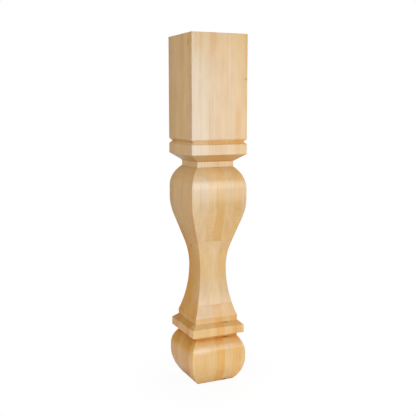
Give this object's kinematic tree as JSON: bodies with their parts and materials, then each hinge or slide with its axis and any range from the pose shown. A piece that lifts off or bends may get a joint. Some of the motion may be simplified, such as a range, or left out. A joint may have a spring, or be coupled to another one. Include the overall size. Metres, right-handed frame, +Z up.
{
  "type": "square wooden table leg",
  "caption": "Square hardwood table leg with a long top block, a V-groove, a vase-shaped waist, a stepped collar and a rounded square foot.",
  "frame": {"origin": "on the floor under the middle of the square foot", "axes": "+Z up along the leg to the top of the block; X and Y square to the four equal faces"},
  "size_m": [0.1524, 0.1524, 0.9017],
  "materials": {
    "hardwood": "sanded, glued-up pale hardwood with straight upright staves and a clear satin finish"
  },
  "bodies": {
    "root": {"leg": "hardwood"}
  },
  "joints": []
}
